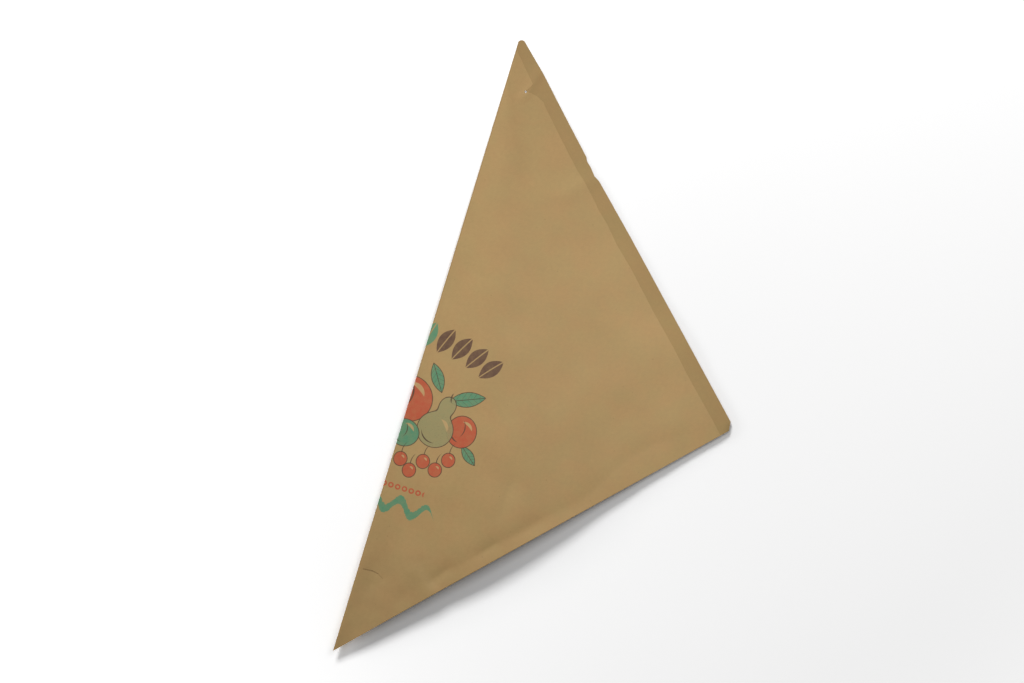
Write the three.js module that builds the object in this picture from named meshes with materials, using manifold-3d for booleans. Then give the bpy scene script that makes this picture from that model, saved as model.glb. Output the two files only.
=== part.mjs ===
// A paper cone bag: one nearly square sheet of kraft paper, folded on its diagonal and glued
// along one edge. The front panel's free edge lies on a bare margin of the back panel.
// It lies on its back panel, front panel up, with the mouth toward -Y.
// The glued seam runs along Y, and the fold slants from the apex to the tip of the mouth.
// Millimetres, +Z up. The origin is the bottom centre of the bag's box.
import * as THREE from 'three';
import { ConvexGeometry } from 'three/addons/geometries/ConvexGeometry.js';
import { mergeVertices } from 'three/addons/utils/BufferGeometryUtils.js';
import Module from 'manifold-3d';

// The folded sheet, seen from above
const seamLeg = 290; // from the corner of the mouth up to the apex
const mouthLeg = 297; // from the corner of the mouth to the tip of the fold
const cornerAngle = 90.6; // degrees between those two edges
const paperThickness = 0.1;
const apexCut = 4; // taken off the apex along both its edges
const cornerCutUp = 4.6; // taken off the corner of the mouth, along the seam
const cornerCutAcross = 3.7; // and along the mouth

// The glued lap
const marginWidth = 10.2; // bare margin of the back panel beside the front panel's edge
const marginNarrowing = 3.9; // how much less of it shows at the apex
const narrowingLength = 45; // how fast the margin widens away from the apex
const glueWidth = 10; // glued strip under the front panel's edge

// How the seam edge wavers, with a notch and a kink: distances from the apex, and how far the
// edge lies inside the straight line there
const seamWaver = [
  [0, 0],
  [30, -0.85],
  [60, -0.1],
  [90, 0.35],
  [92.5, 1.3],
  [98, 1.1],
  [103.5, 1.75],
  [108, 0.6],
  [150, 0],
];

// How far the sheet stands off the surface that it lies on, at the mouth
const mouthGap = 13; // between the panels, at the widest
const foldLift = 6; // of the fold
const seamLift = 4; // of the glued strip
const marginDrop = 1; // from the glued strip down to the seam edge
const flatFrom = 1 / 3; // where the back panel lies flat, as shares of the way
const flatTo = 2 / 3; // from the glued strip to the fold

// The handled mouth of the front panel
const creasePlace = 11; // soft crease along the mouth, from its edge
const creaseDepth = 0.5;
const lipRise = 0.7; // the edge of the mouth, bent up again past the crease
const frontShortfall = 0.8; // by which the front panel's edge stays behind the back panel's

// A small hole through both panels near the apex, and a tear from it to the front panel's edge
const holeDiameter = 1.5;
const holeFromSeam = 14.8;
const holeFromApex = 34;
const tearTop = 32.2; // the tear's two corners on the front panel's edge, from the apex
const tearBottom = 40.7;
const tornFibres = 0.02; // what the tear leaves of the front panel's thickness
const holeReach = 4; // length of the cut that makes the hole
const tearReach = 1; // how far the cut that makes the tear goes past the edge and above the paper

// Facets
const pocketColumns = 18;
const bodyRows = 6;
const lipRows = [2, 1, 0.5]; // rows near the mouth, as shares of creasePlace from its edge
const holeSides = 12;
const apexSteps = 12; // steps that close in on the row where the front panel's edge meets the fold

const radians = THREE.MathUtils.degToRad(cornerAngle);
const mouthDirection = new THREE.Vector2(-Math.sin(radians), Math.cos(radians));
const foldTip = mouthDirection.clone().multiplyScalar(mouthLeg);
const foldLength = foldTip.distanceTo(new THREE.Vector2(0, seamLeg));
const glueLine = marginWidth + glueWidth;
const shares = Array.from({ length: pocketColumns + 1 }, (_, column) => column / pocketColumns);

// A row is a line across the bag parallel to the mouth, named by its share of the way
// from the apex to the mouth. Distances along a row start at the seam edge.
const rowAt = (fromApex) => fromApex / seamLeg;
const foldSide = (row) => row * mouthLeg - paperThickness;
const pocketRow = (glueLine + paperThickness) / mouthLeg;

function lapWidth(row) {
  return marginWidth - marginNarrowing * Math.exp((-row * seamLeg) / narrowingLength);
}

function lapSide(row) {
  return Math.min(lapWidth(row), foldSide(row));
}

function pocketSide(row, share) {
  const start = Math.min(glueLine, foldSide(row));
  return start + share * (foldSide(row) - start);
}

function seamSide(row) {
  const fromApex = row * seamLeg;
  const next = seamWaver.findIndex(([fromApexThere]) => fromApexThere > fromApex);
  if (next < 1) {
    return 0;
  }
  const [startPlace, startOffset] = seamWaver[next - 1];
  const [endPlace, endOffset] = seamWaver[next];
  return THREE.MathUtils.mapLinear(fromApex, startPlace, endPlace, startOffset, endOffset);
}

// The row where the front panel's edge meets the fold, so that only the back panel is left
function frontApexRow() {
  let row = 0;
  for (let step = 0; step < apexSteps; step += 1) {
    row = (lapWidth(row) + paperThickness) / mouthLeg;
  }
  return row;
}

// Both panels rise in straight lines from the pocket's apex to their profiles at the mouth
const openness = (row) => Math.max(0, (row - pocketRow) / (1 - pocketRow));
const ease = (share) => share * share * (3 - 2 * share);

function backProfile(share) {
  if (share < flatFrom) {
    return seamLift * ease(1 - share / flatFrom);
  }
  if (share > flatTo) {
    return foldLift * ((share - flatTo) / (1 - flatTo)) ** 2;
  }
  return 0;
}

// The arch of a strip that is held flat at the glue and hinged at the fold
function arch(share) {
  const peak = 0.26;
  return (share ** 2 * (1 - share) * (3 - 2 * share)) / peak;
}

function creaseProfile(row, share) {
  const creases = ((1 - row) * seamLeg) / creasePlace;
  const lip = Math.max(0, 1 - creases);
  const valley = Math.max(0, 1 - Math.abs(creases - 1));
  return (lipRise * lip - creaseDepth * valley) * Math.sin(Math.PI * share);
}

const backHeight = (row, share) => openness(row) * backProfile(share);
const gapHeight = (row, share) => openness(row) * (mouthGap * arch(share) + creaseProfile(row, share));

function place(row, distance, height) {
  return new THREE.Vector3(
    distance * mouthDirection.x,
    seamLeg * (1 - row) + distance * mouthDirection.y,
    height,
  );
}

function backPoint(row, share, layers) {
  return place(row, pocketSide(row, share), backHeight(row, share) + layers);
}

function frontPoint(row, share, layers) {
  const height = backHeight(row, share) + gapHeight(row, share);
  return place(row, pocketSide(row, share), height + layers);
}

// A section through the sheet along one row: the outline round both panels, and the two panels' insides.
// At a cut edge, the seam's end and the front panel's edge can lie on rows of their own.
function section(row, { seamRow = row, seamCut = seamSide(row), frontRow = () => row } = {}) {
  const lap = lapSide(row);
  const hasFront = lap < foldSide(row);
  const frontTop = hasFront ? 2 * paperThickness : paperThickness;
  const strip = backHeight(row, 0);
  const margin = strip - openness(row) * marginDrop;
  const fold = place(row, row * mouthLeg, backHeight(row, 1) + paperThickness);
  return {
    outline: [
      place(seamRow, seamCut, margin + paperThickness),
      place(row, lap, strip + paperThickness),
      place(row, lap, strip + frontTop),
      ...shares.map((share) => frontPoint(frontRow(share), share, frontTop)),
      fold,
      ...shares.map((share) => backPoint(row, share, 0)).reverse(),
      place(row, lap, strip),
      place(seamRow, seamCut, margin),
    ],
    fold,
    frontInside: shares.map((share) => frontPoint(frontRow(share), share, paperThickness)),
    backInside: shares.map((share) => backPoint(row, share, paperThickness)),
  };
}

function allSections() {
  const frontApex = frontApexRow();
  const bodyStart = rowAt(seamWaver.at(-1)[0]);
  const bodyEnd = rowAt(seamLeg - lipRows[0] * creasePlace);
  const straight = [
    frontApex,
    (frontApex + pocketRow) / 2,
    pocketRow,
    ...seamWaver.slice(1).map(([fromApex]) => rowAt(fromApex)),
    ...lipRows.map((creases) => rowAt(seamLeg - creases * creasePlace)),
    rowAt(seamLeg - cornerCutUp),
  ];
  for (let step = 1; step < bodyRows; step += 1) {
    straight.push(THREE.MathUtils.lerp(bodyStart, bodyEnd, step / bodyRows));
  }
  straight.sort((a, b) => a - b);
  return [
    section(apexCut / foldLength, { seamRow: rowAt(apexCut) }),
    ...straight.map((row) => section(row)),
    section(1, {
      seamCut: cornerCutAcross,
      frontRow: (share) => rowAt(seamLeg - frontShortfall * arch(share)),
    }),
  ];
}

// Triangles, gathered as a plain list of corner points
function addQuad(corners, a, b, c, d) {
  corners.push(a, b, c, a, c, d);
}

function addStrip(corners, upper, lower) {
  for (let i = 0; i + 1 < upper.length; i += 1) {
    addQuad(corners, upper[i], upper[i + 1], lower[i + 1], lower[i]);
  }
}

function addMouthRim(corners, { outline, fold, frontInside, backInside }) {
  const frontOutside = outline.slice(3, 3 + shares.length);
  const backOutside = outline.slice(-2 - shares.length, -2).reverse();
  const [marginTop, lapLow, lapHigh] = outline;
  const [lapUnder, marginUnder] = outline.slice(-2);
  addStrip(corners, frontOutside, frontInside);
  addStrip(corners, backInside, backOutside);
  addQuad(corners, marginTop, lapLow, lapUnder, marginUnder);
  addQuad(corners, lapHigh, frontOutside[0], frontInside[0], lapLow);
  addQuad(corners, lapLow, frontInside[0], backOutside[0], lapUnder);
  addQuad(corners, fold, backOutside.at(-1), frontInside.at(-1), frontOutside.at(-1));
}

function bagCorners() {
  const sections = allSections();
  const corners = [];
  const [apex] = sections;
  for (let i = 1; i + 1 < apex.outline.length; i += 1) {
    corners.push(apex.outline[0], apex.outline[i + 1], apex.outline[i]);
  }
  for (let i = 0; i + 1 < sections.length; i += 1) {
    const upper = sections[i];
    const lower = sections[i + 1];
    addStrip(corners, [...upper.outline, upper.outline[0]], [...lower.outline, lower.outline[0]]);
    addStrip(corners, lower.frontInside, upper.frontInside);
    addStrip(corners, upper.backInside, lower.backInside);
  }
  addMouthRim(corners, sections.at(-1));
  return corners;
}

// Corner points to a solid, without the triangles that have shrunk to a line
function solidFrom(wasm, geometry) {
  const bare = geometry.clone();
  bare.deleteAttribute('normal');
  bare.deleteAttribute('uv');
  const merged = mergeVertices(bare);
  const { array } = merged.index;
  const triangles = [];
  for (let i = 0; i < array.length; i += 3) {
    const [a, b, c] = array.slice(i, i + 3);
    if (a !== b && b !== c && c !== a) {
      triangles.push(a, b, c);
    }
  }
  return new wasm.Manifold(new wasm.Mesh({
    numProp: 3,
    vertProperties: merged.attributes.position.array,
    triVerts: Uint32Array.from(triangles),
  }));
}

function geometryFrom(solid) {
  const { vertProperties, triVerts } = solid.getMesh();
  const geometry = new THREE.BufferGeometry();
  geometry.setAttribute('position', new THREE.BufferAttribute(vertProperties, 3));
  geometry.setIndex(new THREE.BufferAttribute(triVerts, 1));
  geometry.computeVertexNormals();
  return geometry;
}

// The height of the glued strip's underside, which is flat across and rises toward the mouth
const stripHeight = (fromApex) => backHeight(rowAt(fromApex), 0);

function holeCutter() {
  const cutter = new THREE.CylinderGeometry(holeDiameter / 2, holeDiameter / 2, holeReach, holeSides);
  cutter.rotateX(Math.PI / 2);
  const { x, y, z } = place(rowAt(holeFromApex), holeFromSeam, stripHeight(holeFromApex));
  return cutter.translate(x, y, z);
}

function tearCutter() {
  const ends = [
    [holeFromApex, holeFromSeam],
    [tearTop, lapSide(rowAt(tearTop)) - tearReach],
    [tearBottom, lapSide(rowAt(tearBottom)) - tearReach],
  ];
  const points = ends.flatMap(([fromApex, fromSeam]) => {
    const floor = stripHeight(fromApex) + paperThickness + tornFibres;
    return [floor, floor + tearReach].map((height) => place(rowAt(fromApex), fromSeam, height));
  });
  return new ConvexGeometry(points);
}

async function makeBag() {
  const wasm = await Module();
  wasm.setup();
  const sheet = solidFrom(wasm, new THREE.BufferGeometry().setFromPoints(bagCorners()));
  const hole = solidFrom(wasm, holeCutter());
  const tear = solidFrom(wasm, tearCutter());
  const kraft = new THREE.MeshStandardMaterial({ color: 0xae9164, roughness: 0.75, metalness: 0 });
  const bag = new THREE.Mesh(geometryFrom(sheet.subtract(hole).subtract(tear)), kraft);
  bag.name = 'bag_sheet';
  const box = new THREE.Box3().setFromObject(bag);
  const centre = box.getCenter(new THREE.Vector3());
  bag.position.set(-centre.x, -centre.y, -box.min.z);
  return bag;
}

const group = new THREE.Group();
group.add(await makeBag());

export default group;
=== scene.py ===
"""A paper cone bag: one kraft sheet folded on its diagonal and glued along one edge, with its
creases, its worn mouth, its print and the surface of the paper. It lies on its back panel on a
white floor."""

import math

import bpy
import numpy as np
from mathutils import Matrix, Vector


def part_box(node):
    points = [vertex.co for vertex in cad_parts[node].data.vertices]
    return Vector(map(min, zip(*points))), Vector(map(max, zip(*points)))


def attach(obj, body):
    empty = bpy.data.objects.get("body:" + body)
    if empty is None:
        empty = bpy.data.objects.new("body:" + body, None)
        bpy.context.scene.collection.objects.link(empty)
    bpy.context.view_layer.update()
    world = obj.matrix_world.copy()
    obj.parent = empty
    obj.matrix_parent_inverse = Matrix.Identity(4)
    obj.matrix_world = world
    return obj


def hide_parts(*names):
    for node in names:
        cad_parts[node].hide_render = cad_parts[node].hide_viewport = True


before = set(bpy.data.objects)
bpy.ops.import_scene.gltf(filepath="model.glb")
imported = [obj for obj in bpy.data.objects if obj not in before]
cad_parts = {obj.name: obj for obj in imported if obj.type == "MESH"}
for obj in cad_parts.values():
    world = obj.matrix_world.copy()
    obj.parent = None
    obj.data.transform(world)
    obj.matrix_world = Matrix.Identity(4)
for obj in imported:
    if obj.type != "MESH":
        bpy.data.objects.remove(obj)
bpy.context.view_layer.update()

# The folded sheet, in millimetres, as in the CAD model. The corner of the mouth is at the origin of
# the plan, the glued seam runs up to the apex along +Y, and the mouth runs toward -X.
MM = 0.001
SEAM_LEG = 290.0
MOUTH_LEG = 297.0
CORNER_ANGLE = math.radians(90.6)
PAPER = 0.1
APEX_CUT = 4.7
APEX_ROUNDING = 0.65
CORNER_CUT_UP = 4.6
CORNER_CUT_ACROSS = 3.7

# The glued lap
MARGIN_WIDTH = 10.2
MARGIN_NARROWING = 3.9
NARROWING_LENGTH = 45.0
GLUE_WIDTH = 10.0

# The front panel's edge at the lap wavers: places from the apex, and how far it lies out of its line
LAP_WAVER = (
    (30, 0), (49, -0.6), (65, -0.35), (95, 0), (101, -0.6), (112, -0.7), (125, -0.2), (135, -0.7),
    (150, 0.1), (168, -0.7), (200, -0.15), (225, -0.5), (245, 0), (280, -0.4), (290, 0),
)

# A small hole through both panels, and the tear from it to the front panel's edge: places from the
# apex and distances from the seam
HOLE_RADIUS = 0.75
HOLE_FROM_SEAM = 14.8
HOLE_FROM_APEX = 34.0
HOLE_SIDES = 16
HOLE_CUT = 6.0
TEAR = ((32.2, 8.3), (34.0, 14.8), (36.5, 12.2), (40.0, 9.8), (45.4, 7.9), (49.0, 8.3))

# The seam edge wavers: places from the apex, and how far the edge lies inside the straight line.
# The glued strip is bent up at the kink.
SEAM_WAVER = (
    (0, 0), (30, -0.85), (60, -0.1), (90, 0.35), (92.5, 1.3), (98, 1.1), (103.5, 1.75), (108, 0.6),
    (150, 0),
)
KINK_PLACE = 105.0
KINK_WIDTH = 6.0
KINK_HEIGHT = 0.5

# Heights at the mouth, and the share of the way to the fold where the back panel lies flat
MOUTH_GAP = 13.0
FOLD_LIFT = 6.0
SEAM_LIFT = 4.0
MARGIN_DROP = 1.0
FLAT_FROM = 1 / 3
FLAT_TO = 2 / 3
ARCH_PEAK = 0.26
FRONT_SHORTFALL = 0.8

# Waves along the glued strip: height, length over 2 pi, and start
STRIP_WAVES = ((0.4, 17.0, 0.6), (0.25, 8.3, 0.0))

# The front panel's dents and creases: points down from the apex and out from the seam, squarely,
# then height and half width
DENTS = (
    ([(283.5, 214.0), (283.0, 195.0), (282.7, 160.0), (284.0, 140.0)], -0.4, 4.2),
    ([(283.5, 218.0), (281.5, 207.0)], -0.55, 2.8),
    ([(283.0, 182.0), (282.0, 173.0)], -0.5, 2.8),
    ([(284.0, 158.0), (284.5, 147.0)], -0.22, 3.2),
    ([(270.0, 218.5), (284.0, 219.0), (292.0, 215.0)], -0.35, 3.0),
    ([(281.6, 146.0), (285.0, 111.0), (274.3, 70.5), (275.0, 49.0), (282.0, 14.0)], -0.35, 5.0),
    ([(253.0, 144.0), (266.5, 159.0)], -0.4, 4.0),
    ([(272.0, 226.0), (290.0, 223.0)], 0.45, 3.2),
    ([(112.0, 104.0), (128.0, 96.0)], -0.2, 3.5),
    ([(236.0, 214.0), (262.0, 209.0), (290.0, 204.0)], -0.7, 12.0),
    ([(256.9, 246.0)], -0.45, 4.5),
    ([(267.0, 255.0)], -0.45, 4.5),
    ([(283.5, 241.0)], -0.4, 4.0),
    ([(108.0, 33.0), (118.0, 15.0)], -0.25, 3.5),
)
CREASES = (
    ([(255.9, 254.5), (259.6, 249.9), (262.9, 247.5), (267.3, 246.3)], -0.4, 2.2),
    ([(102.0, 33.0), (109.0, 20.0), (115.0, 10.5)], 0.3, 2.2),
)
# Painted shade as dark lines along the sharpest creases and the tear's edge, and a grey spot on the
# lap: points, half width and strength
CREASE_SHADE_AND_SPOT = (
    ([(255.9, 254.3), (259.6, 249.9), (262.9, 247.5)], 0.22, 0.6),
    ([(262.9, 247.5), (267.3, 246.3)], 0.2, 0.25),
    ([(122.2, 8.9), (123.4, 8.3)], 0.6, 0.7),
    ([(41.0, 9.6), (45.0, 8.4)], 0.2, 0.3),
)
LIP_RISE = 0.3
LIP_WIDTH = 9.0
LIP_PATCH = 23.0
COCKLE = 0.09
COCKLE_SEED = 7
COCKLE_WAVES = 14
COCKLE_LENGTHS = (22.0, 75.0)
FADE_FROM_GLUE = 22.0
FADE_FROM_FOLD = 14.0
ROOM_FOR_DENTS = 0.6

# A ridge that runs from the hole over the margin
PUCKER_LINE = [(36.5, 17.0), (33.0, 9.5), (27.5, 2.0)]
PUCKER_WIDTH = 3.2
PUCKER_HEIGHT = 0.45

# Columns and rows of the mesh
FRONT_COLUMNS = 180
BACK_COLUMNS = 40
NARROW_COLUMNS = 6
ROW_STEP = 1.75
MOUTH_ROW_STEP = 1.2
MOUTH_ROWS_FROM = 245.0
FOLD_TURNS = (45.0, 0.0, -45.0)
SHARP_ANGLE = math.radians(40)

# The photograph's frame: its size and centre, the sharp corner of the apex in it, how much the seam
# is turned there, and the real size of a pixel
PHOTO_WIDTH = 1024
PHOTO_CENTRE = (512.0, 341.5)
PHOTO_APEX = (520.64, 34.54)
PHOTO_TURN = math.radians(28.45)
MM_PER_PIXEL = 0.6483
TOP_LAMP_OVER = (668.0, 300.0)

MOUTH_DIRECTION = np.array([-math.sin(CORNER_ANGLE), math.cos(CORNER_ANGLE)])
FOLD_TIP = MOUTH_LEG * MOUTH_DIRECTION
FOLD_VECTOR = FOLD_TIP - np.array([0.0, SEAM_LEG])
FOLD_LENGTH = float(np.hypot(*FOLD_VECTOR))
FOLD_DIRECTION = FOLD_VECTOR / FOLD_LENGTH
GLUE_LINE = MARGIN_WIDTH + GLUE_WIDTH
POCKET_ROW = (GLUE_LINE + PAPER) / MOUTH_LEG

# The sheet's materials, by their place in the mesh, and the attribute that holds where each point is
# on the flat sheet
OUTSIDE, INSIDE, EDGE = 0, 1, 2
FLAT = "flat_mm"


def plan_to_frame():
    """Where the corner of the mouth is in the frame, in millimetres, by the CAD node's box."""
    low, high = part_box("bag_sheet")
    bulge = min(offset for _, offset in SEAM_WAVER)
    return np.array([high[0] / MM + bulge, low[1] / MM - FOLD_TIP[1]])


# Plan: a row is a line parallel to the mouth, by its share of the way from the apex to the mouth


def fold_side(row):
    return row * MOUTH_LEG - PAPER


def lap_width(row):
    return MARGIN_WIDTH - MARGIN_NARROWING * np.exp(-row * SEAM_LEG / NARROWING_LENGTH)


def lap_side(row):
    """The front panel's edge, which wavers and runs round the tear."""
    from_apex = row * SEAM_LEG
    places, offsets = zip(*LAP_WAVER)
    torn_places, torn_sides = zip(*TEAR)
    lap = lap_width(row) + np.interp(from_apex, places, offsets)
    torn = (from_apex > torn_places[0]) & (from_apex < torn_places[-1])
    lap = np.where(torn, np.interp(from_apex, torn_places, torn_sides), lap)
    return np.minimum(lap, fold_side(row))


def seam_side(row):
    """The seam edge, which wavers and ends in the cut corner."""
    from_apex = row * SEAM_LEG
    places, offsets = zip(*SEAM_WAVER)
    cut = np.clip((from_apex - SEAM_LEG + CORNER_CUT_UP) / CORNER_CUT_UP, 0.0, 1.0)
    return np.interp(from_apex, places, offsets) + CORNER_CUT_ACROSS * cut


def pocket_side(row, share):
    start = np.minimum(GLUE_LINE, fold_side(row))
    return start + share * (fold_side(row) - start)


# Heights, in millimetres


def openness(row):
    return np.maximum(0.0, (row - POCKET_ROW) / (1 - POCKET_ROW))


def ease(share):
    share = np.clip(share, 0.0, 1.0)
    return share * share * (3 - 2 * share)


def arch(share):
    """The arch of a strip that is held flat at the glue and hinged at the fold."""
    return share**2 * (1 - share) * (3 - 2 * share) / ARCH_PEAK


def back_profile(share):
    seam_end = SEAM_LIFT * ease(1 - share / FLAT_FROM)
    fold_end = FOLD_LIFT * np.maximum(0.0, (share - FLAT_TO) / (1 - FLAT_TO)) ** 2
    return seam_end + fold_end


def distance_to(line, x, y):
    """The distance of each point to a line of points, or to one point."""
    nearest = np.full(np.broadcast(x, y).shape, np.inf)
    ends = list(zip(line, line[1:])) or [(line[0], line[0])]
    for (ax, ay), (bx, by) in ends:
        length = max((bx - ax) ** 2 + (by - ay) ** 2, 1e-9)
        along = np.clip(((x - ax) * (bx - ax) + (y - ay) * (by - ay)) / length, 0.0, 1.0)
        away = np.hypot(x - ax - along * (bx - ax), y - ay - along * (by - ay))
        nearest = np.minimum(nearest, away)
    return nearest


def cockle(from_apex, from_seam):
    """The slight puckering of paper that has been damp: long low waves in several directions."""
    random = np.random.default_rng(COCKLE_SEED)
    shortest, longest = COCKLE_LENGTHS
    waves = np.zeros(np.broadcast(from_apex, from_seam).shape)
    for _ in range(COCKLE_WAVES):
        length = random.uniform(shortest, longest)
        turn = random.uniform(0.0, math.pi)
        start = random.uniform(0.0, 2 * math.pi)
        along = from_apex * math.cos(turn) + from_seam * math.sin(turn)
        waves += length / longest * np.sin(2 * math.pi * along / length + start)
    return waves


def front_relief(row, share):
    """Creases, dents and cockling of the front panel, which fade out at the glue and the fold."""
    from_apex = row * SEAM_LEG
    from_seam = pocket_side(row, share)
    down = from_apex - from_seam * MOUTH_DIRECTION[1]
    relief = COCKLE * cockle(from_apex, from_seam)
    for line, height, width in DENTS:
        away = distance_to(line, down, from_seam) / width
        relief = relief + height * np.exp(-1.5 * away) * (1 + 1.5 * away)
    for line, height, width in CREASES:
        relief = relief + height * np.exp(-distance_to(line, down, from_seam) / width)
    lip = np.maximum(0.0, 1 - (SEAM_LEG - from_apex) / LIP_WIDTH)
    patchy = 0.65 + 0.35 * np.sin(from_seam / LIP_PATCH + 2.0)
    relief = relief + LIP_RISE * patchy * lip**1.5
    width = fold_side(row) - pocket_side(row, 0.0)
    relief = relief * ease(share * width / FADE_FROM_GLUE)
    relief = relief * ease((1 - share) * width / FADE_FROM_FOLD)
    room = ROOM_FOR_DENTS * openness(row) * MOUTH_GAP * arch(share) + 1e-6
    return np.where(relief < 0, -room * np.tanh(-relief / room), relief)


def pucker(row, side):
    """Where both panels are raised together: a ridge from the hole over the margin."""
    from_apex = row * SEAM_LEG
    ridge = distance_to(PUCKER_LINE, from_apex, side) / PUCKER_WIDTH
    return PUCKER_HEIGHT * np.exp(-(ridge**2))


def seam_wave(row):
    """How the glued strip waves along its length, and its bend at the kink."""
    from_apex = row * SEAM_LEG
    wave = sum(height * np.sin(from_apex / length + start) for height, length, start in STRIP_WAVES)
    bend = KINK_HEIGHT * np.exp(-(((from_apex - KINK_PLACE) / KINK_WIDTH) ** 2))
    return openness(row) * wave + bend


def back_height(row, share):
    strip = seam_wave(row) * ease(1 - share / (FLAT_FROM / 2))
    return openness(row) * back_profile(share) + strip


def front_height(row, share):
    arched = openness(row) * MOUTH_GAP * arch(share)
    return back_height(row, share) + arched + front_relief(row, share)


# The mesh, as grids of points: rows down the bag, and columns round its section


def front_apex():
    """The row where the front panel's edge meets the fold."""
    row = 0.0
    for _ in range(12):
        row = (lap_width(row) + PAPER) / MOUTH_LEG
    return row


def mesh_rows():
    body = np.arange(front_apex() * SEAM_LEG, MOUTH_ROWS_FROM, ROW_STEP)
    mouth_rows = round((SEAM_LEG - MOUTH_ROWS_FROM) / MOUTH_ROW_STEP)
    mouth = np.linspace(MOUTH_ROWS_FROM, SEAM_LEG, mouth_rows)
    marked = [POCKET_ROW * SEAM_LEG, SEAM_LEG - CORNER_CUT_UP]
    marked += [place for place, _ in (*SEAM_WAVER, *LAP_WAVER, *TEAR) if place > body[0]]
    return np.unique(np.concatenate([body, mouth, marked])) / SEAM_LEG


def place(row, distance, height):
    """Points in the plan, from rows, distances from the seam along them, and heights."""
    row, distance, height = np.broadcast_arrays(row, distance, height)
    x = distance * MOUTH_DIRECTION[0]
    y = SEAM_LEG * (1 - row) + distance * MOUTH_DIRECTION[1]
    return np.stack([x, y, height + pucker(row, distance)], axis=-1)


def sheet_grids(rows):
    """The points round the outside of every section, and those of the two insides."""
    row = rows[:, None]
    front_share = np.linspace(0.0, 1.0, FRONT_COLUMNS + 1)[None, :]
    back_share = np.linspace(0.0, 1.0, BACK_COLUMNS + 1)[None, :]
    across = np.linspace(0.0, 1.0, NARROW_COLUMNS)[None, :]
    seam_row = row.copy()
    seam_row[0] = APEX_CUT / SEAM_LEG
    seam = seam_side(row)
    front_row = row - (row == 1.0) * FRONT_SHORTFALL * arch(front_share) / SEAM_LEG
    lap = lap_side(row)
    glue = pocket_side(row, 0.0)
    front_top = np.where(lap < fold_side(row) - 1e-9, 2 * PAPER, PAPER)

    strip = back_height(row, 0.0)
    margin_row = seam_row + across * (row - seam_row)
    margin_row[0] -= APEX_ROUNDING * (1 - (2 * across[0] - 1) ** 2) / SEAM_LEG
    margin_side = seam + across * (lap - seam)
    margin_height = strip - MARGIN_DROP * openness(row) * (1 - across) ** 2
    glued_side = lap + across[:, 1:-1] * (glue - lap)
    back_pocket = pocket_side(row, back_share)
    front_pocket = pocket_side(front_row, front_share)
    front = front_height(front_row, front_share)
    back = back_height(row, back_share)

    turns = np.radians(FOLD_TURNS)[None, :]
    fold_height = back_height(row, 1.0) + PAPER
    nose = place(row, fold_side(row) + PAPER * np.cos(turns), fold_height + PAPER * np.sin(turns))
    outside = [
        place(margin_row, margin_side, margin_height + PAPER),
        place(row, lap, strip + front_top),
        place(row, glued_side, strip + front_top),
        place(front_row, front_pocket, front + front_top),
        nose,
        place(row, back_pocket, back)[:, ::-1],
        place(row, glued_side, strip)[:, ::-1],
        place(margin_row, margin_side, margin_height)[:, ::-1],
    ]
    inside = [place(front_row, front_pocket, front + PAPER), place(row, back_pocket, back + PAPER)]
    return outside, inside


def ring_marks(outside):
    """For each column round the section, the side of the sheet that it is on (1 for the front panel)
    and its face's material."""
    counts = [part.shape[1] for part in outside]
    sides = np.repeat([-1, 1, 1, 1, 0, -1, -1, -1], counts)
    finishes = np.repeat([INSIDE] + [OUTSIDE] * (len(counts) - 1), counts)
    finishes[counts[0] - 1] = EDGE
    finishes[-1] = EDGE
    return sides, finishes


def strip_faces(upper, lower):
    """Four-cornered faces between two equal grids of point numbers."""
    corners = [upper[..., :-1], upper[..., 1:], lower[..., 1:], lower[..., :-1]]
    return np.stack(corners, axis=-1).reshape(-1, 4)


class SheetMesh:
    """Gathers points and faces, and joins points that lie on one another."""

    def __init__(self):
        self.points = []
        self.sides = []
        self.faces = []
        self.finishes = []
        self.count = 0

    def add_points(self, grid, sides):
        numbers = np.arange(self.count, self.count + grid.shape[0] * grid.shape[1])
        self.count += numbers.size
        self.points.append(grid.reshape(-1, 3))
        self.sides.append(np.broadcast_to(sides, grid.shape[:2]).reshape(-1))
        return numbers.reshape(grid.shape[:2])

    def add_faces(self, faces, finish):
        self.faces += [list(face) for face in faces]
        self.finishes += list(np.broadcast_to(finish, len(faces)))

    def joined(self):
        points = np.concatenate(self.points)
        rounded = np.round(points, 4)
        _, first, number = np.unique(rounded, axis=0, return_index=True, return_inverse=True)
        number = number.reshape(-1)
        faces = []
        finishes = []
        for face, finish in zip(self.faces, self.finishes):
            corners = [number[corner] for corner in face]
            corners = [c for c, after in zip(corners, corners[1:] + corners[:1]) if c != after]
            if len(corners) >= 3:
                faces.append(corners)
                finishes.append(int(finish))
        return points[first], np.concatenate(self.sides)[first], faces, finishes


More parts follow.
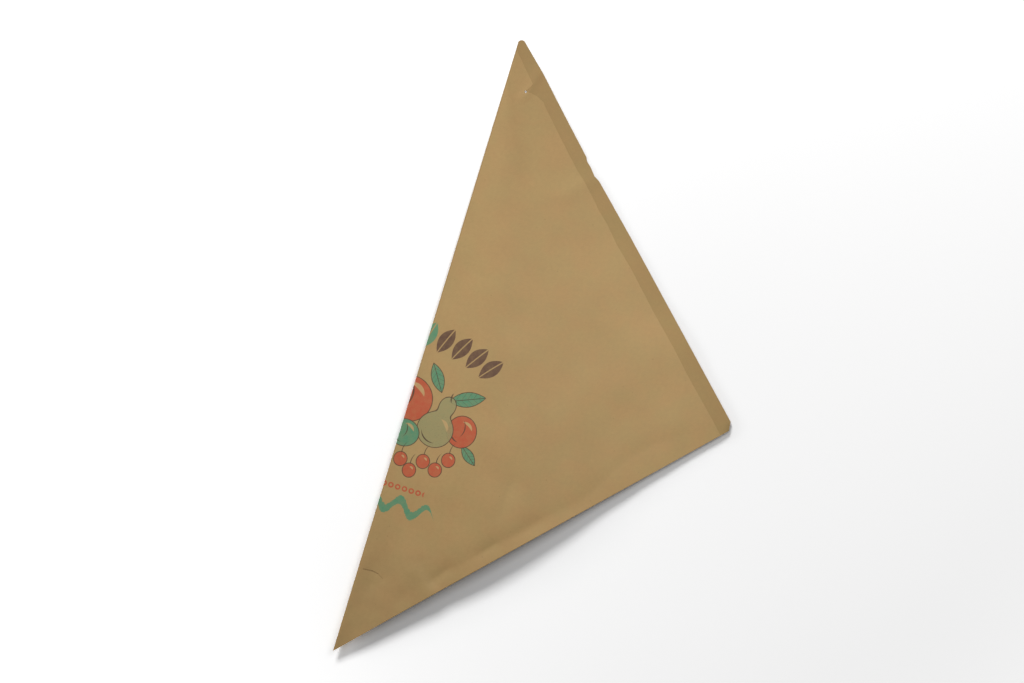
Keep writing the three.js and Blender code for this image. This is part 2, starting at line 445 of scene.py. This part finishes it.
def build_sheet():
    rows = np.concatenate([[APEX_CUT / FOLD_LENGTH], mesh_rows()])
    outside, (front_inside, back_inside) = sheet_grids(rows)
    sides, finishes = ring_marks(outside)
    sheet = SheetMesh()
    ring = sheet.add_points(np.concatenate(outside, axis=1), sides)
    closed = np.concatenate([ring, ring[:, :1]], axis=1)
    front = sheet.add_points(front_inside, 1)
    back = sheet.add_points(back_inside, -1)
    sheet.add_faces(strip_faces(closed[:-1], closed[1:]), np.tile(finishes, len(rows) - 1))
    sheet.add_faces(strip_faces(front[1:], front[:-1]), INSIDE)
    sheet.add_faces(strip_faces(back[:-1], back[1:]), INSIDE)

    starts = np.cumsum([0] + [part.shape[1] for part in outside])
    parts = list(zip(starts, starts[1:]))
    margin, lap, glued, top, nose, bottom, under, margin_under = [ring[-1, a:b] for a, b in parts]
    sheet.add_faces(strip_faces(top, front[-1]), EDGE)
    sheet.add_faces(strip_faces(back[-1], bottom[::-1]), EDGE)
    sheet.add_faces(strip_faces(margin, margin_under[::-1]), EDGE)
    glue_end = [margin[-1], lap[0], *glued, top[0], front[-1, 0]]
    glue_end += [bottom[-1], *under, margin_under[0]]
    sheet.add_faces([glue_end], EDGE)
    sheet.add_faces([[top[-1], *nose, bottom[0], front[-1, -1]]], EDGE)

    tip, *between, tip_under = [ring[0, a:b] for a, b in parts]
    sheet.add_faces(strip_faces(tip_under[::-1], tip), EDGE)
    sheet.add_faces([[tip_under[0], *np.concatenate(between)[::-1], tip[-1]]], EDGE)
    return sheet.joined()


def flat_places(points, sides):
    """Where points of the plan are on the flat sheet: from the fold, positive on the front panel, and
    from the apex along the fold."""
    from_apex = points[:, :2] - np.array([0.0, SEAM_LEG])
    from_fold = from_apex @ np.array([-FOLD_DIRECTION[1], FOLD_DIRECTION[0]])
    along_fold = from_apex @ FOLD_DIRECTION
    return np.stack([from_fold * np.where(sides < 0, -1, 1), along_fold, 0 * along_fold], axis=1)


def sheet_object():
    """The bag as one closed mesh, with its place on the flat sheet at every point."""
    points, sides, faces, finishes = build_sheet()
    mesh = bpy.data.meshes.new("bag_paper")
    corner = plan_to_frame()
    placed = (points + np.array([corner[0], corner[1], 0.0])) * MM
    mesh.from_pydata(placed.tolist(), [], faces)
    attribute = mesh.attributes.new(FLAT, "FLOAT_VECTOR", "POINT").data
    attribute.foreach_set("vector", flat_places(points, sides).ravel())
    mesh.polygons.foreach_set("material_index", finishes)
    mesh.polygons.foreach_set("use_smooth", [True] * len(faces))
    mesh.set_sharp_from_angle(angle=SHARP_ANGLE)
    mesh.update()
    piece = bpy.data.objects.new("bag_paper", mesh)
    bpy.context.scene.collection.objects.link(piece)
    return piece


def punch_hole(piece):
    """Cuts the small hole at the end of the tear through both panels, and gives the new points their
    places on the flat sheet."""
    row = HOLE_FROM_APEX / SEAM_LEG
    corner = plan_to_frame()
    centre = place(row, HOLE_FROM_SEAM, back_height(row, 0.0) + PAPER) + np.array([*corner, 0.0])
    bpy.ops.mesh.primitive_cylinder_add(
        vertices=HOLE_SIDES, radius=HOLE_RADIUS * MM, depth=HOLE_CUT * MM, location=centre * MM
    )
    cutter = bpy.context.object
    cut = piece.modifiers.new("hole", "BOOLEAN")
    cut.operation = "DIFFERENCE"
    cut.object = cutter
    bpy.context.view_layer.objects.active = piece
    bpy.ops.object.modifier_apply(modifier=cut.name)
    bpy.data.objects.remove(cutter)
    mesh = piece.data
    attribute = mesh.attributes[FLAT].data
    points = np.empty((len(mesh.vertices), 3))
    flat = np.empty((len(mesh.vertices), 3))
    mesh.vertices.foreach_get("co", points.ravel())
    attribute.foreach_get("vector", flat.ravel())
    points = points / MM - np.array([*corner, 0.0])
    cut_points = ~flat.any(axis=1)
    sides = np.where(points[:, 2] > centre[2], 1, -1)
    flat[cut_points] = flat_places(points, sides)[cut_points]
    attribute.foreach_set("vector", flat.ravel())


# Materials


def linear(red, green, blue):
    """A colour written in 8-bit sRGB, as Blender's linear one."""
    channels = [c / 255 for c in (red, green, blue)]
    return tuple(c / 12.92 if c <= 0.04045 else ((c + 0.055) / 1.055) ** 2.4 for c in channels) + (1.0,)


class Tree:
    """A material's node tree, with a call for each kind of node that the bag's materials use."""

    def __init__(self, name):
        self.material = bpy.data.materials.new(name)
        self.material.use_nodes = True
        self.nodes = self.material.node_tree.nodes
        self.shader = self.nodes["Principled BSDF"]

    def feed(self, socket, value):
        """Links a node's output to the socket, or sets the socket to a plain value."""
        if isinstance(value, bpy.types.NodeSocket):
            self.material.node_tree.links.new(value, socket)
        else:
            socket.default_value = value

    def node(self, kind, values=(), **settings):
        """A new node with its settings, and with its inputs fed by name or number."""
        node = self.nodes.new(kind)
        for name, value in settings.items():
            setattr(node, name, value)
        for place_in_node, value in dict(values).items():
            self.feed(node.inputs[place_in_node], value)
        return node

    def flat(self):
        """The place on the flat sheet."""
        return self.node("ShaderNodeAttribute", attribute_name=FLAT).outputs["Vector"]

    def maths(self, operation, a, b=0.0, c=0.0):
        return self.node("ShaderNodeMath", {0: a, 1: b, 2: c}, operation=operation).outputs[0]

    def noise(self, vector, scale, detail=2.0, roughness=0.5):
        values = {"Vector": vector, "Scale": scale, "Detail": detail, "Roughness": roughness}
        return self.node("ShaderNodeTexNoise", values).outputs["Fac"]

    def ramp(self, value, low, high, to_low=0.0, to_high=1.0):
        """A smooth step from one value to another, between two limits."""
        values = {"Value": value, "From Min": low, "From Max": high}
        values |= {"To Min": to_low, "To Max": to_high}
        node = self.node("ShaderNodeMapRange", values, interpolation_type="SMOOTHSTEP")
        return node.outputs["Result"]

    def vectors(self, operation, a, b=(0.0, 0.0, 0.0)):
        node = self.node("ShaderNodeVectorMath", {0: a, 1: b}, operation=operation)
        return node.outputs["Value" if operation in ("LENGTH", "DOT_PRODUCT") else "Vector"]

    def hypotenuse(self, x, y):
        squares = self.maths("ADD", self.maths("MULTIPLY", x, x), self.maths("MULTIPLY", y, y))
        return self.maths("SQRT", squares)

    def repeated(self, value, pitch):
        """The number of the cell that a value is in, and how far it is from the cell's middle."""
        cell = self.maths("ROUND", self.maths("DIVIDE", value, pitch))
        return cell, self.maths("SUBTRACT", value, self.maths("MULTIPLY", cell, pitch))

    def between(self, value, half):
        """1 where the value is nearer to 0 than the half width."""
        return self.maths("LESS_THAN", self.maths("ABSOLUTE", value), half)

    def vector(self, x, y):
        return self.node("ShaderNodeCombineXYZ", {"X": x, "Y": y}).outputs["Vector"]

    def moved(self, vector, location, angle=0.0, scale=(1.0, 1.0, 1.0)):
        """The vector in the axes of a shape that is moved, turned and scaled."""
        values = {"Vector": vector, "Location": location, "Rotation": (0.0, 0.0, angle), "Scale": scale}
        return self.node("ShaderNodeMapping", values, vector_type="TEXTURE").outputs["Vector"]

    def parts(self, vector):
        node = self.node("ShaderNodeSeparateXYZ", {"Vector": vector})
        return node.outputs["X"], node.outputs["Y"]

    def mix(self, share, a, b, blend="MIX"):
        node = self.node("ShaderNodeMix", data_type="RGBA", blend_type=blend)
        self.feed(node.inputs[0], share)
        self.feed(node.inputs[6], a)
        self.feed(node.inputs[7], b)
        return node.outputs[2]

    def grey(self, value):
        """A plain number as the grey that darkens or lightens a colour."""
        return self.node("ShaderNodeCombineColor", {0: value, 1: value, 2: value}).outputs[0]


# Colours of the paper and the ink, and how white the floor is
KRAFT = linear(176, 145, 96)
KRAFT_INSIDE = linear(166, 137, 90)
KRAFT_EDGE = linear(176, 152, 112)
KRAFT_DARK = linear(140, 113, 76)
# Painted shade along the creases and the tear's edge; also the grey spot on the lap
SHADE_AND_SPOT_DARK = linear(92, 70, 42)
KRAFT_WARM = (1.02, 0.985, 0.985, 1.0)
KRAFT_COOL = (0.98, 1.01, 1.0, 1.0)
INK_GREEN = linear(84, 142, 108)
INK_BROWN = linear(94, 67, 55)
INK_RED = linear(186, 84, 56)
INK_PALE = linear(152, 144, 100)
INK_LIGHT = linear(190, 158, 108)
INK_DARK = linear(84, 66, 50)
FLOOR_WHITE = 0.95

# The printed fruit. Places are on the flat sheet: out from the fold, positive on the front panel, and
# down from the apex along the fold. Leaves: place, length, width and turn in degrees.
LEAVES = (
    ((36.0, 236.5), 24.0, 9.5, -22.0),
    ((13.5, 228.5), 20.0, 8.0, 58.0),
    ((47.0, 271.0), 15.0, 6.5, 40.0),
    ((-24.0, 236.0), 24.0, 9.5, 22.0),
)
BERRIES = (
    (-14.0, 284.0), (-4.5, 287.5), (5.5, 285.5), (13.0, 291.0), (20.0, 283.0), (29.0, 286.0),
    (35.5, 277.5),
)
BERRY_RADIUS = 4.4
STALK_CENTRE = (9.0, -6.0)
STALK_RADIUS = 9.5
RED_FRUIT = (((-1.0, 246.5), (15.8, 15.0)), ((38.5, 257.5), (9.6, 10.4)))
GREEN_FRUIT = (((3.0, 268.5), (9.6, 8.8)), ((-22.0, 262.0), (11.0, 12.0)))
PEAR_NECK = (25.0, 244.5)
PEAR_BELLY = (21.5, 261.0)
PEAR_STALK = (33.0, 238.0)
SHINE_TURN = 60.0

# The garland over the fruit, the row of rings and the wave under it
GARLAND_RADIUS = 105.0
GARLAND_TOP = 203.5
GARLAND_STEP = math.radians(6.3)
GARLAND_LEAVES = 9
GARLAND_LEAN = math.radians(16)
GARLAND_LEAF = (9.6, 4.8)
RING_PITCH = 4.6
RING_ROW = 303.5
RING_ROW_HALF = 27.0
RING_RADIUS = 1.35
WAVE_ROW = 315.0
WAVE_HEIGHT = 4.2
WAVE_LENGTH = 18.0
WAVE_HALF = 38.0
WAVE_TAPER = 12.0
WAVE_THICK = 2.9


def kraft_tone(tree, flat, colour):
    """The paper's own colour: clouds in its pulp, fibres, and a few dark and pale specks."""
    clouds = tree.noise(flat, 0.035, 3.0)
    mottle = tree.noise(flat, 0.35, 3.0, 0.6)
    grain = tree.moved(flat, (0.0, 0.0, 0.0), math.radians(-44), (2.6, 0.35, 1.0))
    fibres = tree.noise(grain, 1.0, 3.0, 0.65)
    tone = tree.ramp(clouds, 0.3, 0.7, 0.975, 1.02)
    tone = tree.maths("MULTIPLY", tone, tree.ramp(mottle, 0.25, 0.75, 0.975, 1.02))
    tone = tree.maths("MULTIPLY", tone, tree.ramp(fibres, 0.25, 0.75, 0.965, 1.03))
    hue = tree.ramp(tree.noise(flat, 0.055, 2.0), 0.3, 0.7)
    warm = tree.mix(1.0, colour, KRAFT_WARM, "MULTIPLY")
    cool = tree.mix(1.0, colour, KRAFT_COOL, "MULTIPLY")
    colour = tree.mix(hue, warm, cool)
    specks = tree.node("ShaderNodeTexVoronoi", {"Vector": flat, "Scale": 0.16, "Randomness": 1.0})
    spot = tree.ramp(specks.outputs["Distance"], 0.035, 0.09, 1.0, 0.0)
    chosen = tree.node("ShaderNodeSeparateColor", {0: specks.outputs["Color"]})
    dark = tree.maths("MULTIPLY", spot, tree.ramp(chosen.outputs[0], 0.62, 0.9, 0.0, 0.16))
    tone = tree.maths("SUBTRACT", tone, dark)
    return tree.mix(1.0, colour, tree.grey(tone), "MULTIPLY"), fibres, mottle


def tip_blotches_and_rubbed_fold(tree, flat, colour):
    """The tip, darker in blotches, and the fold, darkened by handling."""
    from_fold, along = tree.parts(flat)
    tip = tree.ramp(along, 300.0, 400.0)
    blotches = tree.noise(flat, 0.06, 2.0)
    amount = tree.maths("MULTIPLY", tip, tree.ramp(blotches, 0.3, 0.75, 0.15, 0.32))
    rubbed = tree.ramp(tree.maths("ABSOLUTE", from_fold), 0.15, 1.2, 0.3, 0.0)
    amount = tree.maths("MAXIMUM", amount, rubbed)
    return tree.mix(amount, colour, KRAFT_DARK)


def flat_place(down, out):
    """Where a place is on the flat sheet, from its way down from the apex and out from the seam."""
    plan = np.array([-out, -down])
    across = float(plan @ np.array([-FOLD_DIRECTION[1], FOLD_DIRECTION[0]]))
    return across, float(plan @ FOLD_DIRECTION), 0.0


def distance_to_segment(tree, flat, start, end):
    """The distance to a straight line between two places on the flat sheet, in nodes."""
    start = Vector(flat_place(*start))
    run = Vector(flat_place(*end)) - start
    away = tree.vectors("SUBTRACT", flat, start)
    along = tree.vectors("DOT_PRODUCT", away, run)
    share = tree.node("ShaderNodeClamp", {"Value": tree.maths("DIVIDE", along, run.length_squared)})
    foot = tree.node("ShaderNodeVectorMath", {0: run, "Scale": share.outputs[0]}, operation="SCALE")
    gap = tree.vectors("SUBTRACT", away, foot.outputs["Vector"])
    return tree.vectors("LENGTH", gap)


def painted_crease_shade_and_spot(tree, flat, colour):
    """Painted shade as thin dark lines along the sharp creases and the tear's edge, and the grey spot
    at the lap.
    """
    rough = tree.ramp(tree.noise(flat, 1.4, 3.0), 0.2, 0.8, 0.1, 0.6)
    for line, width, strength in CREASE_SHADE_AND_SPOT:
        for start, end in zip(line, line[1:]):
            away = distance_to_segment(tree, flat, start, end)
            edge = tree.maths("ADD", width, rough)
            values = {"Value": away, "From Max": edge, "To Min": strength, "To Max": 0.0}
            mark = tree.node("ShaderNodeMapRange", values)
            colour = tree.mix(mark.outputs["Result"], colour, SHADE_AND_SPOT_DARK)
    return colour


def paper_surface(tree, fibres, mottle, roughness, depth):
    """Bumps of the paper's fibres, of the depth given in millimetres, and a dull gloss that varies."""
    height = tree.maths("ADD", tree.maths("MULTIPLY", fibres, 0.7), tree.maths("MULTIPLY", mottle, 0.5))
    bump = tree.node("ShaderNodeBump", {"Strength": 1.0, "Distance": depth * MM, "Height": height})
    tree.feed(tree.shader.inputs["Normal"], bump.outputs["Normal"])
    gloss = tree.ramp(mottle, 0.2, 0.8, roughness - 0.06, roughness + 0.06)
    tree.feed(tree.shader.inputs["Roughness"], gloss)
    tree.shader.inputs["Specular IOR Level"].default_value = 0.3


class Print:
    """Shapes in ink, laid one over another on the flat sheet. Lengths are in millimetres."""

    def __init__(self, tree, flat, colour):
        self.tree = tree
        self.flat = flat
        self.colour = colour
        wear = tree.ramp(tree.noise(flat, 2.2, 3.0, 0.7), 0.28, 0.5, 0.74, 0.97)
        patches = tree.ramp(tree.noise(flat, 0.28, 2.0), 0.3, 0.7, 0.86, 1.0)
        self.cover = tree.maths("MULTIPLY", wear, patches)

    def ink(self, mask, colour):
        share = self.tree.maths("MULTIPLY", mask, self.cover)
        self.colour = self.tree.mix(share, self.colour, colour)

    def inside(self, distance, soft=0.14):
        """1 where the signed distance is below 0."""
        return self.tree.ramp(distance, -soft, soft, 1.0, 0.0)

    def line(self, distance, width=0.3):
        away = self.tree.maths("ABSOLUTE", distance)
        return self.inside(self.tree.maths("SUBTRACT", away, width))

    def oval(self, centre, radii, angle=0.0):
        """The signed distance to an oval, near enough for its edge."""
        tree = self.tree
        local = tree.moved(self.flat, (*centre, 0.0), math.radians(angle), (*radii, 1.0))
        length = tree.vectors("LENGTH", local)
        return tree.maths("MULTIPLY", tree.maths("SUBTRACT", length, 1.0), min(radii))

    def leaf_in(self, local, width):
        """The signed distance to a pointed leaf that runs from -1 to 1 along the first axis."""
        tree = self.tree
        along, across = tree.parts(local)
        edge = tree.maths("SUBTRACT", 1.0, tree.maths("MULTIPLY", along, along))
        gap = tree.maths("SUBTRACT", tree.maths("ABSOLUTE", across), edge)
        return tree.maths("MULTIPLY", gap, width)

    def arc(self, centre, radius, start, end, width, colour):
        """A brush stroke along a circle, thick in its middle, between two angles in degrees."""
        tree = self.tree
        middle = math.radians((start + end) / 2)
        half = math.radians(abs(end - start) / 2)
        x, y = tree.parts(tree.moved(self.flat, (*centre, 0.0), middle))
        turn = tree.maths("DIVIDE", tree.maths("ABSOLUTE", tree.maths("ARCTAN2", y, x)), half)
        reach = tree.maths("SUBTRACT", tree.hypotenuse(x, y), radius)
        thick = tree.maths("SUBTRACT", 1.0, tree.maths("MULTIPLY", turn, turn))
        thick = tree.maths("MULTIPLY", thick, width)
        away = tree.maths("SUBTRACT", tree.maths("ABSOLUTE", reach), thick)
        self.ink(self.inside(away, 0.12), colour)

    def body(self, edge, colour):
        self.ink(self.inside(edge), colour)
        self.ink(self.line(edge, 0.26), INK_DARK)

    def fruit(self, centre, radii, colour):
        """A round fruit with a crescent of light, a crease and a little shading line."""
        self.body(self.oval(centre, radii), colour)
        size = min(radii)
        self.arc(centre, 0.68 * size, -SHINE_TURN - 38, -SHINE_TURN + 38, 0.1 * size, INK_LIGHT)
        self.arc(centre, 0.74 * size, 95, 170, 0.05 * size, INK_DARK)
        crease = (centre[0] - 0.75 * size, centre[1] - 0.2 * size)
        self.arc(crease, 0.9 * size, -42, 38, 0.035 * size, INK_DARK)

    def berry(self, centre, radius):
        self.body(self.oval(centre, (radius, 1.06 * radius)), INK_RED)
        self.arc(centre, 0.55 * radius, -95, -25, 0.13 * radius, INK_LIGHT)

    def leaf(self, centre, length, width, angle, colour):
        """A pointed leaf with a vein along its middle and ribs that slant away from it."""
        tree = self.tree
        size = (length / 2, width / 2, 1.0)
        local = tree.moved(self.flat, (*centre, 0.0), math.radians(angle), size)
        edge = self.leaf_in(local, width / 2)
        self.body(edge, colour)
        along, across = tree.parts(local)
        inside = self.inside(edge)
        vein = self.line(tree.maths("MULTIPLY", across, width / 2), 0.22)
        lean = tree.maths("MULTIPLY", tree.maths("ABSOLUTE", across), 0.35)
        ribs = tree.maths("PINGPONG", tree.maths("SUBTRACT", along, lean), 0.16)
        rib = tree.maths("SUBTRACT", tree.maths("MULTIPLY", ribs, length / 2), 0.14)
        lines = tree.maths("MAXIMUM", vein, tree.maths("MULTIPLY", self.inside(rib, 0.1), 0.7))
        self.ink(tree.maths("MULTIPLY", lines, inside), INK_DARK)


def garland(ink):
    """Leaves side by side along an arch over the fruit, green at its left and brown at its right."""
    tree = ink.tree
    across, along = tree.parts(ink.flat)
    down = tree.maths("SUBTRACT", GARLAND_RADIUS + GARLAND_TOP, along)
    turn = tree.maths("ARCTAN2", across, down)
    cell, beside = tree.repeated(turn, GARLAND_STEP)
    reach = tree.maths("SUBTRACT", tree.hypotenuse(across, down), GARLAND_RADIUS)
    local = tree.vector(reach, tree.maths("MULTIPLY", beside, GARLAND_RADIUS))
    leaf = tree.moved(local, (0.0, 0.0, 0.0), GARLAND_LEAN, (*GARLAND_LEAF, 1.0))
    half_width = GARLAND_LEAF[1]
    mask = ink.inside(ink.leaf_in(leaf, half_width))
    mask = tree.maths("MULTIPLY", mask, tree.between(cell, GARLAND_LEAVES / 2))
    vein = ink.line(tree.maths("MULTIPLY", tree.parts(leaf)[1], half_width), 0.35)
    mask = tree.maths("MULTIPLY", mask, tree.maths("SUBTRACT", 1.0, vein))
    green = tree.maths("LESS_THAN", cell, 0.5)
    ink.ink(tree.maths("MULTIPLY", mask, green), INK_GREEN)
    ink.ink(tree.maths("MULTIPLY", mask, tree.maths("SUBTRACT", 1.0, green)), INK_BROWN)


def rings(ink):
    """A row of small red rings under the fruit."""
    tree = ink.tree
    across, along = tree.parts(ink.flat)
    beside = tree.repeated(across, RING_PITCH)[1]
    local = tree.vector(beside, tree.maths("SUBTRACT", along, RING_ROW))
    ring = ink.line(tree.maths("SUBTRACT", tree.vectors("LENGTH", local), RING_RADIUS), 0.5)
    ink.ink(tree.maths("MULTIPLY", ring, tree.between(across, RING_ROW_HALF)), INK_RED)


def brush_wave(ink):
    """A broad green wave, as from a brush, that ends in a point."""
    tree = ink.tree
    across, along = tree.parts(ink.flat)
    swing = tree.maths("SINE", tree.maths("MULTIPLY", across, 2 * math.pi / WAVE_LENGTH))
    swing = tree.maths("MULTIPLY", swing, WAVE_HEIGHT)
    away = tree.maths("SUBTRACT", tree.maths("SUBTRACT", along, WAVE_ROW), swing)
    rough = tree.ramp(tree.noise(ink.flat, 0.7, 3.0), 0.2, 0.8, 0.75, 1.25)
    out = tree.maths("ABSOLUTE", across)
    taper = tree.ramp(out, WAVE_HALF - WAVE_TAPER, WAVE_HALF, WAVE_THICK, 0.0)
    edge = tree.maths("SUBTRACT", tree.maths("ABSOLUTE", away), tree.maths("MULTIPLY", taper, rough))
    ink.ink(tree.maths("MULTIPLY", ink.inside(edge, 0.2), tree.between(across, WAVE_HALF)), INK_GREEN)


def pear(ink):
    """A speckled pear, from two ovals that run into each other, with a stalk."""
    tree = ink.tree
    neck = ink.oval(PEAR_NECK, (5.4, 6.5), 14.0)
    belly = ink.oval(PEAR_BELLY, (11.8, 11.6))
    ink.body(tree.maths("SMOOTH_MIN", neck, belly, 7.0), INK_PALE)
    ink.arc(PEAR_BELLY, 7.8, -75, -5, 1.1, INK_LIGHT)
    ink.arc(PEAR_BELLY, 8.8, 80, 165, 0.45, INK_DARK)
    ink.arc(PEAR_STALK, 7.2, 150, 205, 0.5, INK_DARK)
    speckle = tree.noise(ink.flat, 1.6, 1.0)
    dots = tree.maths("MULTIPLY", tree.ramp(speckle, 0.66, 0.72), ink.inside(belly))
    ink.ink(tree.maths("MULTIPLY", dots, 0.6), INK_DARK)


def still_life(ink):
    """Plain fruit and leaves: a pear between round fruit, with a bough of small berries below."""
    for centre, length, width, angle in LEAVES:
        ink.leaf(centre, length, width, angle, INK_GREEN)
    for centre, radii in RED_FRUIT:
        ink.fruit(centre, radii, INK_RED)
    pear(ink)
    for centre, radii in GREEN_FRUIT:
        ink.fruit(centre, radii, INK_GREEN)
    for across, along in BERRIES:
        stalk = (across + STALK_CENTRE[0], along + STALK_CENTRE[1])
        ink.arc(stalk, STALK_RADIUS, 140, 215, 0.3, INK_DARK)
        ink.berry((across, along), BERRY_RADIUS)


def outside_material():
    tree = Tree("kraft_outside")
    flat = tree.flat()
    colour, fibres, mottle = kraft_tone(tree, flat, KRAFT)
    # Blotches toward the tip and a rubbed fold, then painted shade at the creases and the tear's edge,
    # and a grey spot
    colour = painted_crease_shade_and_spot(tree, flat, tip_blotches_and_rubbed_fold(tree, flat, colour))
    ink = Print(tree, flat, colour)
    garland(ink)
    still_life(ink)
    rings(ink)
    brush_wave(ink)
    tree.feed(tree.shader.inputs["Base Color"], ink.colour)
    paper_surface(tree, fibres, mottle, 0.56, 0.03)
    return tree.material


def inside_material():
    tree = Tree("kraft_inside")
    flat = tree.flat()
    colour, fibres, mottle = kraft_tone(tree, flat, KRAFT_INSIDE)
    tree.feed(tree.shader.inputs["Base Color"], colour)
    paper_surface(tree, fibres, mottle, 0.74, 0.06)
    return tree.material


def edge_material():
    tree = Tree("kraft_cut_edge")
    flat = tree.flat()
    colour, fibres, mottle = kraft_tone(tree, flat, KRAFT_EDGE)
    tree.feed(tree.shader.inputs["Base Color"], colour)
    paper_surface(tree, fibres, mottle, 0.85, 0.05)
    return tree.material


def floor_material():
    """A white floor that keeps the bag's shadow. The camera sees it whiter the farther it is from the
    top lamp, in metres, and a light of its own far away."""
    tree = Tree("white_floor")
    tree.shader.inputs["Roughness"].default_value = 0.9
    tree.shader.inputs["Specular IOR Level"].default_value = 0.1
    seen = tree.node("ShaderNodeLightPath").outputs["Is Camera Ray"]
    place_on_floor = tree.node("ShaderNodeTexCoord").outputs["Object"]
    from_lamp = tree.vectors("LENGTH", place_on_floor)
    whiteness = tree.ramp(from_lamp, 0.0, 0.45, 1.02, 1.56)
    whiteness = tree.maths("MULTIPLY", tree.maths("SUBTRACT", whiteness, FLOOR_WHITE), seen)
    whiteness = tree.maths("ADD", whiteness, FLOOR_WHITE)
    tree.feed(tree.shader.inputs["Base Color"], tree.grey(whiteness))
    tree.shader.inputs["Emission Color"].default_value = (1.0, 1.0, 1.0, 1.0)
    far = tree.ramp(from_lamp, 0.25, 0.9)
    tree.feed(tree.shader.inputs["Emission Strength"], tree.maths("MULTIPLY", seen, far))
    return tree.material


# Scene, in metres. The far lamps have a turn and an elevation in degrees, and a share of the light.

TOP_LAMP_HEIGHT = 0.32
TOP_LAMP_SIZE = 0.2
TOP_LAMP_POWER = 0.37
LAMP_DISTANCE = 2.2
LAMP_SIZE = 0.6
STUDIO_LAMPS = (("key_lamp", 80.0, 40.0, 0.43), ("side_lamp", 140.0, 20.0, 0.08))
WORLD_STRENGTH = 0.13
FLOOR_SIZE = 6.0
FLOOR_LEVEL = -0.00005
CAMERA_HEIGHT = 2.5
SENSOR_WIDTH = 36.0


def photo_to_frame(x, y):
    """A point of the photograph on the floor of the frame, in millimetres."""
    right = (x - PHOTO_APEX[0]) * MM_PER_PIXEL
    down = (y - PHOTO_APEX[1]) * MM_PER_PIXEL
    corner = plan_to_frame()
    along_x = right * math.cos(PHOTO_TURN) - down * math.sin(PHOTO_TURN)
    along_y = -right * math.sin(PHOTO_TURN) - down * math.cos(PHOTO_TURN)
    return corner[0] + along_x, corner[1] + SEAM_LEG + along_y


def add_floor():
    mesh = bpy.data.meshes.new("floor")
    half = FLOOR_SIZE / 2
    signs = ((-1, -1), (1, -1), (1, 1), (-1, 1))
    corners = [(half * x, half * y, FLOOR_LEVEL) for x, y in signs]
    mesh.from_pydata(corners, [], [(0, 1, 2, 3)])
    mesh.materials.append(floor_material())
    floor = bpy.data.objects.new("floor", mesh)
    lit = photo_to_frame(*TOP_LAMP_OVER)
    floor.location = (lit[0] * MM, lit[1] * MM, 0.0)
    bpy.context.scene.collection.objects.link(floor)


def add_lamp(name, over, height, size, power, aim):
    """A square soft lamp at a place above the floor, in metres, that points at another place."""
    light = bpy.data.lights.new(name, "AREA")
    light.size = size
    light.energy = power
    lamp = bpy.data.objects.new(name, light)
    lamp.location = (over[0], over[1], height)
    toward = Vector((aim[0], aim[1], 0.0)) - lamp.location
    lamp.rotation_euler = toward.to_track_quat("-Z", "Y").to_euler()
    lamp.visible_camera = False
    bpy.context.scene.collection.objects.link(lamp)


def add_light():
    middle = Vector((*photo_to_frame(*PHOTO_CENTRE), 0.0)) * MM
    above = Vector((*photo_to_frame(*TOP_LAMP_OVER), 0.0)) * MM
    add_lamp("top_lamp", above, TOP_LAMP_HEIGHT, TOP_LAMP_SIZE, TOP_LAMP_POWER, above)
    for name, turn, elevation, share in STUDIO_LAMPS:
        turn = math.radians(turn)
        elevation = math.radians(elevation)
        flat = Vector((math.cos(turn), math.sin(turn), 0.0)) * math.cos(elevation)
        lamp = middle + flat * LAMP_DISTANCE
        power = math.pi**2 * LAMP_DISTANCE**2 * share / math.sin(elevation)
        add_lamp(name, lamp, LAMP_DISTANCE * math.sin(elevation), LAMP_SIZE, power, middle)
    world = bpy.data.worlds.new("studio")
    world.use_nodes = True
    nodes = world.node_tree.nodes
    background = nodes["Background"]
    seen = nodes.new("ShaderNodeLightPath")
    strength = nodes.new("ShaderNodeMapRange")
    strength.inputs["To Min"].default_value = WORLD_STRENGTH
    strength.inputs["To Max"].default_value = 1.0
    world.node_tree.links.new(seen.outputs["Is Camera Ray"], strength.inputs["Value"])
    world.node_tree.links.new(strength.outputs["Result"], background.inputs["Strength"])
    background.inputs["Color"].default_value = (1.0, 1.0, 1.0, 1.0)
    bpy.context.scene.world = world


def add_camera():
    camera = bpy.data.cameras.new("camera")
    camera.sensor_width = SENSOR_WIDTH
    camera.lens = SENSOR_WIDTH * CAMERA_HEIGHT / (PHOTO_WIDTH * MM_PER_PIXEL * MM)
    eye = bpy.data.objects.new("camera", camera)
    over = photo_to_frame(*PHOTO_CENTRE)
    eye.location = (over[0] * MM, over[1] * MM, CAMERA_HEIGHT)
    eye.rotation_euler = (0.0, 0.0, -PHOTO_TURN)
    bpy.context.scene.collection.objects.link(eye)
    bpy.context.scene.camera = eye


def make_bag():
    bag = sheet_object()
    for material in (outside_material(), inside_material(), edge_material()):
        bag.data.materials.append(material)
    punch_hole(bag)
    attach(bag, "root")
    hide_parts("bag_sheet")


make_bag()
add_floor()
add_light()
add_camera()
bpy.context.scene.view_settings.view_transform = "Standard"
